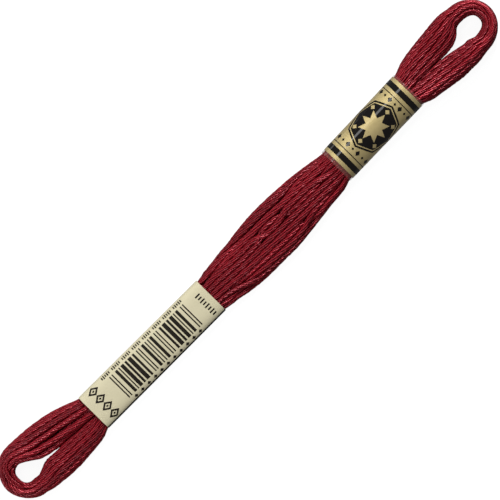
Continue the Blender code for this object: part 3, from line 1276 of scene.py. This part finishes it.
class Row(NamedTuple):
    """Like flat shapes in a row on the sheet, or one alone, their corners on the two axes."""

    first: Pair  # the middle of the first one, along and across
    sizes: tuple[Pair, ...]  # along and across, by turns
    count: int = 1
    step: Pair = (0.0, 0.0)  # from one to the next
    sides: int = DIAMOND
    line: float = 0.0  # the width of an open shape's line, or 0 where it is filled
    waist: float = 1.0  # how deep the notches of a star reach, as a share of its radius


class Layer(NamedTuple):
    """One layer of a sleeve, such as its sheet or a print on it."""

    name: str
    draw: Callable[[], None]
    finish: bpy.types.Material


@dataclass
class WrappedSleeve:
    """A sleeve that is cut and printed flat, wrapped round the bundle and lapped underneath.

    A flat place is x along the skein and, across the sheet, how far it lies from the line over
    the top, with +Y positive. Shapes are drawn on the sheet that is in edit mode.
    """

    sleeve: Sleeve
    thickness: float = 0.11
    lap: float = 4.0
    lap_room: float = 1.3  # how high the lapped-over part lies, in thicknesses
    corners: int = 160
    slice_width: float = 0.22
    lengths: int = 12  # pieces that the sheet is cut into along the skein
    sharp: float = 35.0  # degrees between faces, past which an edge stays sharp

    def __post_init__(self) -> None:
        """Works the section out, and makes the guide that the flat pieces are wrapped round."""
        cut = self.sleeve
        self.middle = (cut.start_low + cut.start_high + cut.end_low + cut.end_high) / 4
        self.reach = (cut.start_high - cut.start_low + cut.end_high - cut.end_low) / 4
        turn = -math.pi / 2 - TURN * np.arange(self.corners + 1) / self.corners
        across, up = superellipse(turn, cut.power)
        y = self.middle + self.reach * across
        lifted = 1 - ease(4 * np.arange(self.corners + 1) / self.corners)  # over the first quarter
        z = np.maximum(resting(up, 0.0, cut.top), self.lap_room * self.thickness * lifted)
        y = np.concatenate([[self.middle + self.lap / 2], y, [self.middle - self.lap / 2]])
        z = np.concatenate([[self.lap_room * self.thickness], z, [0.0]])
        steps = np.hypot(np.diff(y), np.diff(z))
        self.length = float(steps.sum())
        self.over_top = float(steps[: self.corners // 2 + 1].sum())
        self.edges = (-self.over_top, self.length - self.over_top)
        self.guide = self.make_guide(y, z)

    @staticmethod
    def make_guide(y: np.ndarray, z: np.ndarray) -> bpy.types.Object:
        """Makes the section a curve that runs from the under edge round to the lapped one.

        Args:
            y: Its points across the skein.
            z: Their heights.

        Returns:
            The curve.
        """
        curve = bpy.data.curves.new("section guide", "CURVE")
        curve.dimensions = "3D"
        curve.twist_mode = "MINIMUM"
        spline = curve.splines.new("POLY")
        spline.points.add(len(y) - 1)
        for point, across, up in zip(spline.points, y, z):
            point.co = (0.0, across * MM, up * MM, 1.0)
            point.tilt = -math.pi / 2
        guide = bpy.data.objects.new("section guide", curve)
        bpy.context.collection.objects.link(guide)
        return guide

    def flat_place(self, x: float, across: float) -> tuple[float, float, float]:
        """The flat sheet's point at a place, in metres."""
        return (x * MM, (self.over_top + across) * MM, 0.0)

    @staticmethod
    def stretch(size: Pair, centre: tuple[float, float, float]) -> None:
        """Stretches what is selected about a point."""
        bpy.ops.transform.resize(value=(*size, 1.0), center_override=centre)

    @staticmethod
    def cut_across(place: float, axis: int) -> None:
        """Cuts through all of the sheet.

        Args:
            place: Where the cut lies on its axis.
            axis: The axis that the cut is square to, 0 for x and 1 for y.
        """
        normal = [float(side == axis) for side in range(3)]
        bpy.ops.mesh.select_all(action="SELECT")
        bpy.ops.mesh.bisect(plane_co=[place * MM * side for side in normal], plane_no=normal)

    def add_strip(self, x: float, width: float, low: float, high: float) -> None:
        """Adds a flat rectangle.

        Args:
            x: Its middle along the skein.
            width: Its size along the skein.
            low: Its edge on the -Y side.
            high: Its edge on the +Y side.
        """
        bpy.ops.mesh.select_all(action="DESELECT")
        centre = self.flat_place(x, (low + high) / 2)
        bpy.ops.mesh.primitive_plane_add(size=MM, location=centre)
        self.stretch((width, high - low), centre)

    def add_rows(self, origin: float, rows: tuple[Row, ...]) -> None:
        """Adds flat shapes.

        Args:
            origin: The x that their places are measured from.
            rows: Their rows.
        """
        for row in rows:
            for number in range(row.count):
                along, across = (start + number * step for start, step in zip(row.first, row.step))
                centre = self.flat_place(origin + along, across)
                bpy.ops.mesh.select_all(action="DESELECT")
                bpy.ops.mesh.primitive_circle_add(
                    vertices=row.sides, radius=MM / 2, fill_type="NGON", location=centre
                )
                self.stretch(row.sizes[number % len(row.sizes)], centre)
                if row.line:
                    bpy.ops.mesh.inset(thickness=row.line * MM, depth=0.0)
                    bpy.ops.mesh.delete(type="FACE")
                if row.waist < 1:
                    self.select_notches()
                    self.stretch((row.waist, row.waist), centre)

    @staticmethod
    def select_notches() -> None:
        """Keeps every second corner of the selected shape selected."""
        data = bpy.context.edit_object.data
        mesh = bmesh.from_edit_mesh(data)
        chosen = [vertex for vertex in mesh.verts if vertex.select]
        bpy.ops.mesh.select_mode(type="VERT")
        for number, vertex in enumerate(chosen):
            vertex.select = number % 2 == 1
        mesh.select_flush_mode()
        bmesh.update_edit_mesh(data)

    def draw_sheet(self) -> None:
        """The sheet itself, cut along the skein so that it can follow the taper."""
        start, end = self.sleeve.start_x, self.sleeve.end_x
        self.add_strip((start + end) / 2, end - start, *self.edges)
        pitch = (end - start) / self.lengths
        for number in range(1, self.lengths):
            self.cut_across(start + number * pitch, 0)

    def wrap(self, piece: bpy.types.Object, lift: float, thickness: float) -> None:
        """Wraps a flat sheet round the bundle, lets it follow the taper, and gives it thickness.

        Args:
            piece: The sheet, in edit mode.
            lift: How far its outer face lies outside the sleeve's.
            thickness: How thick it is.
        """
        cuts = int(self.length / self.slice_width)
        for number in range(1, cuts):
            self.cut_across(number * self.length / cuts, 1)
        bpy.ops.mesh.select_all(action="SELECT")
        bpy.ops.transform.translate(value=(0.0, 0.0, lift * MM))
        bpy.ops.object.mode_set(mode="OBJECT")
        bend = piece.modifiers.new("wrap", "CURVE")
        bend.object = self.guide
        bend.deform_axis = "POS_Y"
        bpy.ops.object.modifier_apply(modifier=bend.name)
        self.follow_taper(piece)
        wall = piece.modifiers.new("thickness", "SOLIDIFY")
        wall.thickness = thickness * MM
        wall.offset = -1.0
        bpy.ops.object.modifier_apply(modifier=wall.name)
        piece.data.shade_smooth()
        piece.data.set_sharp_from_angle(angle=math.radians(self.sharp))

    def follow_taper(self, piece: bpy.types.Object) -> None:
        """Moves a wrapped sheet's points from the mean section to the one at their own x.

        Args:
            piece: The wrapped sheet.
        """
        cut = self.sleeve
        points = np.empty(3 * len(piece.data.vertices))
        piece.data.vertices.foreach_get("co", points)
        points = points.reshape(-1, 3)
        share = (points[:, 0] / MM - cut.start_x) / (cut.end_x - cut.start_x)
        low = blend(cut.start_low, cut.end_low, share)
        high = blend(cut.start_high, cut.end_high, share)
        off = (points[:, 1] / MM - self.middle) / self.reach
        points[:, 1] = ((low + high) / 2 + off * (high - low) / 2) * MM
        piece.data.vertices.foreach_set("co", points.ravel())
        piece.data.update()

    def lay(self, layer: Layer, lift: float, thickness: float) -> bpy.types.Object:
        """Draws one layer flat, wraps it round the bundle and dresses it.

        Args:
            layer: The layer.
            lift: How far its outer face lies outside the sleeve's.
            thickness: How thick it is.

        Returns:
            The finished piece.
        """
        bpy.ops.object.select_all(action="DESELECT")
        piece = bpy.data.objects.new(layer.name, bpy.data.meshes.new(layer.name))
        bpy.context.collection.objects.link(piece)
        piece.select_set(True)
        bpy.context.view_layer.objects.active = piece
        bpy.ops.object.mode_set(mode="EDIT")
        layer.draw()
        self.wrap(piece, lift, thickness)
        piece.data.materials.append(layer.finish)
        return piece

    def close(self) -> None:
        """Removes the guide."""
        bpy.data.objects.remove(self.guide, do_unlink=True)


@dataclass
class LongBand(WrappedSleeve):
    """The long paper sleeve, with a stripe panel, small marks and diamonds in dark ink, and a strip of
    painted shade down its -Y side in the same ink.
    """

    ink_lift: float = 0.012
    panel: Pair = (-45.8, -20.7)  # the stripes' first and last x
    panel_sides: Pair = (-3.55, 3.4)  # across the sheet, as the sizes below are
    painted_shade_line: Pair = (-6.3, -5.0)  # painted shade: a dark ink strip down the -Y side, where the band's side turns into shade
    mark_pitch: float = 0.58
    mark_width: float = 0.34
    mark_talls: Pair = (0.75, 1.05)  # by turns
    mark_across: float = 4.4
    marks_past: float = 1.5  # how far the marks reach past each end of the panel
    mark_group: int = 6  # one mark in each group is left out
    end_marks: int = 8
    end_marks_x: float = -16.8
    end_mark_widths: Pair = (1.1, 1.5)  # by turns
    end_mark_sides: Pair = (-3.9, -3.5)
    end_mark_pitch: float = 0.85
    # open diamonds in a row across the sleeve, their hearts, and a chain beside the stripes
    diamonds: tuple[Row, ...] = (
        Row((-5.1, -3.55), ((3.3, 2.3),), 4, (0.0, 2.4), line=0.45),
        Row((-5.1, -3.55), ((0.8, 0.6),), 4, (0.0, 2.4)),
        Row((1.6, -4.4), ((1.1, 1.0),), 11, (2.19, 0.0)),
    )
    # half of the stripe panel, from its end to its middle: each stripe and the bare paper after it
    stripes: tuple[Pair, ...] = (
        (0.33, 0.45),
        (0.33, 0.85),
        (0.76, 0.40),
        (0.33, 0.38),
        (0.95, 0.42),
        (0.60, 0.40),
        (1.05, 0.44),
        (0.60, 0.74),
        (0.33, 0.44),
        (0.33, 0.66),
        (0.76, 0.42),
        (0.33, 0.25),
    )

    def draw_stripes(self) -> None:
        """The stripe panel: one half, and its mirror image."""
        start, end = self.panel
        at = 0.0
        for width, bare in self.stripes:
            for x in (start + at + width / 2, end - at - width / 2):
                self.add_strip(x, width, *self.panel_sides)
            at += width + bare

    def draw_marks(self) -> None:
        """Small marks along one side of the panel, wide ones past its end, and the painted shade line
        down the -Y side.
        """
        start, end = self.panel
        for number in range(int((end - start + 2 * self.marks_past) / self.mark_pitch)):
            if number % self.mark_group == self.mark_group - 1:
                continue
            half = self.mark_talls[number % 2] / 2
            x = start - self.marks_past + number * self.mark_pitch
            self.add_strip(x, self.mark_width, self.mark_across - half, self.mark_across + half)
        # painted shade: a dark ink strip along the whole -Y side of the band
        first, last = self.sleeve.start_x, self.sleeve.end_x
        self.add_strip((first + last) / 2, last - first, *self.painted_shade_line)
        for number in range(self.end_marks):
            low, high = (side + self.end_mark_pitch * number for side in self.end_mark_sides)
            self.add_strip(self.end_marks_x, self.end_mark_widths[number % 2], low, high)

    def draw_print_and_shade(self) -> None:
        """All that the ink shows, the painted shade line too."""
        self.draw_stripes()
        self.draw_marks()
        self.add_rows(self.panel[0], self.diamonds)

    def build(self) -> list[bpy.types.Object]:
        """Makes the sleeve and its print.

        Returns:
            The paper, and the ink on it with its painted shade line.
        """
        paper = SkinFinish(
            "cream paper",
            dark=(0.535, 0.488, 0.320),
            light=(0.600, 0.553, 0.382),
            roughness=0.72,
            clouds=260.0,
            sheen=0.5,
        )
        # this ink also paints the shade line down the -Y side
        ink = SkinFinish(
            "brown-black ink and painted shade",
            dark=(0.007, 0.005, 0.003),
            light=(0.016, 0.012, 0.008),
            roughness=0.6,
            shine=0.15,
        )
        sheet = Layer("long_band_paper", self.draw_sheet, paper.build())
        # the print layer holds the painted shade line as well as the print
        printed = Layer("long_band_print_and_shade", self.draw_print_and_shade, ink.build())
        made = [self.lay(sheet, 0.0, self.thickness)]
        made.append(self.lay(printed, self.ink_lift, 2 * self.ink_lift))
        self.close()
        return made


@dataclass
class ShortBand(WrappedSleeve):
    """The short film sleeve: a gold ground, two dark rings and a dark panel with gold stars."""

    thickness: float = 0.07
    print_lift: float = 0.016
    ground: Pair = (29.9, 54.0)
    rings: Pair = (31.6, 52.3)
    ring_width: float = 1.45
    fine_line: float = 0.22
    fine_line_off: float = 1.75  # from the middle of the ring beside it
    panel_x: float = 42.1
    # the panel, an open diamond and its heart on each side of it, and dots past its two ends
    dark: tuple[Row, ...] = (
        Row((0.0, 0.0), ((13.4, 12.6),), sides=OCTAGON),
        Row((0.0, -10.4), ((9.4, 8.4),), 2, (0.0, 20.8), line=0.35),
        Row((0.0, -10.4), ((6.4, 5.4),), 2, (0.0, 20.8)),
        Row((-7.35, -6.6), ((0.8, 0.7), (1.5, 1.25)), 9, (0.0, 1.65)),
        Row((7.35, -6.6), ((0.8, 0.7), (1.5, 1.25)), 9, (0.0, 1.65)),
    )
    # the line inside the panel's edge, its star, the stars on the diamonds, and small diamonds
    gold: tuple[Row, ...] = (
        Row((0.0, 0.0), ((12.4, 11.6),), sides=OCTAGON, line=0.25),
        Row((0.0, 0.0), ((7.8, 7.8),), sides=STAR, waist=0.55),
        Row((0.0, -10.4), ((2.6, 2.6),), 2, (0.0, 20.8), sides=STAR, waist=0.5),
        Row((-4.75, 0.0), ((1.3, 1.3),), 2, (9.5, 0.0)),
        Row((-3.2, -3.5), ((1.3, 1.3),), 2, (0.0, 7.0)),
        Row((3.2, -3.5), ((1.3, 1.3),), 2, (0.0, 7.0)),
    )

    def draw_ground(self) -> None:
        """The gold ground, all the way round."""
        self.add_strip(sum(self.ground) / 2, self.ground[1] - self.ground[0], *self.edges)

    def draw_dark(self) -> None:
        """The dark print: the rings, fine lines beside them, and the panel with its motifs."""
        for x in self.rings:
            self.add_strip(x, self.ring_width, *self.edges)
        for x in (self.rings[0] + self.fine_line_off, self.rings[1] - self.fine_line_off):
            self.add_strip(x, self.fine_line, *self.edges)
        self.add_rows(self.panel_x, self.dark)

    def draw_gold(self) -> None:
        """The gold on the dark panel."""
        self.add_rows(self.panel_x, self.gold)

    def build(self) -> list[bpy.types.Object]:
        """Makes the sleeve and its print.

        Returns:
            The film, the gold ground, the dark print and the gold on it.
        """
        gold = SkinFinish(
            "gold foil",
            dark=(0.46, 0.365, 0.160),
            light=(0.56, 0.450, 0.212),
            roughness=0.45,
            metallic=0.6,
            coat=0.2,
            coat_roughness=0.1,
            sheen=0.5,
        ).build()
        dark = SkinFinish(
            "black lacquer",
            dark=(0.0030, 0.0022, 0.0020),
            light=(0.0050, 0.0038, 0.0036),
            roughness=0.6,
            coat=0.8,
            coat_roughness=0.06,
            shine=0.05,
            sheen=0.1,
        ).build()
        sheet = Layer("short_band_film", self.draw_sheet, ClearFilmFinish().build())
        made = [self.lay(sheet, 0.0, self.thickness)]
        prints = (
            Layer("short_band_gold", self.draw_ground, gold),
            Layer("short_band_dark_print", self.draw_dark, dark),
            Layer("short_band_gold_motifs", self.draw_gold, gold),
        )
        for level, layer in enumerate(prints, 1):
            made.append(self.lay(layer, self.print_lift * level, self.print_lift))
        self.close()
        return made


class SoftLight(NamedTuple):
    """A soft light that faces the skein, with its place and size in metres."""

    name: str
    place: tuple[float, float, float]
    size: Pair
    power: float  # in watts


@dataclass
class Studio:
    """The camera, the lights and the floor."""

    frame_width: float = 120.9
    lens: float = 300.0
    sensor: float = 36.0
    aim: tuple[float, float, float] = (0.0, -0.44, 3.0)
    roll: float = -45.31  # degrees, so that the skein lies from lower left to upper right
    floor_size: float = 3000.0
    floor_drop: float = 0.04
    floor_tone: Colour = (0.16, 0.16, 0.16)
    floor_glow: float = 0.93  # what the camera sees of it, so that it looks plain and pale
    room_light: float = 0.1
    lights: tuple[SoftLight, ...] = (
        SoftLight("key", (0.53, 0.54, 0.57), (0.25, 0.25), 9.3),
        SoftLight("strip", (0.0, 0.28, 0.75), (0.7, 0.12), 1.2),
        SoftLight("fill", (-0.42, -0.15, 0.30), (0.15, 0.15), 1.1),
        SoftLight("card", (-0.30, 0.52, 0.075), (0.8, 0.15), 0.85),
    )

    def camera(self) -> None:
        """A long lens straight above the skein."""
        data = bpy.data.cameras.new("camera")
        data.lens = self.lens
        data.sensor_width = self.sensor
        data.clip_start = 0.05
        data.clip_end = 20.0
        made = bpy.data.objects.new("camera", data)
        distance = self.frame_width * self.lens / self.sensor
        made.location = (self.aim[0] * MM, self.aim[1] * MM, (self.aim[2] + distance) * MM)
        made.rotation_euler = (0.0, 0.0, math.radians(self.roll))
        bpy.context.collection.objects.link(made)
        bpy.context.scene.camera = made

    @staticmethod
    def light(lamp: SoftLight) -> None:
        """Sets up a soft light, turned to face the skein.

        Args:
            lamp: The light.
        """
        data = bpy.data.lights.new(lamp.name, "AREA")
        data.shape = "RECTANGLE"
        data.size, data.size_y = lamp.size
        data.energy = lamp.power
        made = bpy.data.objects.new(lamp.name, data)
        x, y, z = lamp.place
        made.location = lamp.place
        tilt = math.acos(z / math.hypot(x, y, z))
        made.rotation_euler = (tilt, 0.0, math.atan2(y, x) + math.pi / 2)
        bpy.context.collection.objects.link(made)

    def floor(self) -> None:
        """A plain pale floor just under the skein."""
        bpy.ops.object.select_all(action="DESELECT")
        place = (0.0, 0.0, -self.floor_drop * MM)
        bpy.ops.mesh.primitive_plane_add(size=self.floor_size * MM, location=place)
        made = bpy.context.object
        made.name = "floor"
        finish, bench, shader = new_finish("pale floor")
        seen = bench.add("ShaderNodeLightPath").outputs["Is Camera Ray"]
        inputs = {
            "Base Color": self.floor_tone,
            "Emission Color": (1.0, 1.0, 1.0),
            "Emission Strength": bench.maths("MULTIPLY", seen, self.floor_glow),
            "Roughness": 0.9,
            "Specular IOR Level": 0.1,
        }
        bench.fill(shader, inputs)
        made.data.materials.append(finish)

    def build(self) -> None:
        """Sets the studio up."""
        self.camera()
        self.floor()
        for lamp in self.lights:
            self.light(lamp)
        world = bpy.data.worlds.new("soft room")
        world.use_nodes = True
        bpy.context.scene.world = world
        background = world.node_tree.nodes["Background"]
        Bench(world.node_tree).fill(background, {"Color": (1.0, 1.0, 1.0), "Strength": self.room_light})
        bpy.context.scene.view_settings.view_transform = "Standard"


def settle_in(pieces: list[bpy.types.Object], node: str) -> None:
    """Attaches pieces to their body, and hides the imported part of the node that they are built to
    stand in for.

    Args:
        pieces: The pieces.
        node: The node.
    """
    for piece in pieces:
        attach(piece, BODY)
        log.info("%s: %d faces", piece.name, len(piece.data.polygons))
        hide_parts(node)


def main() -> None:
    """Builds the studio, the hank and the two sleeves."""
    Studio().build()
    circuit = Circuit()
    hank = FlossHank(circuit, CoilPacking(circuit))
    settle_in(hank.build(), "floss_hank")
    settle_in(LongBand(LONG_SLEEVE).build(), "long_band")
    settle_in(ShortBand(SHORT_SLEEVE).build(), "short_band")


if __name__ == "__main__":
    logging.basicConfig(level=logging.INFO, format="%(name)s: %(message)s")
    main()
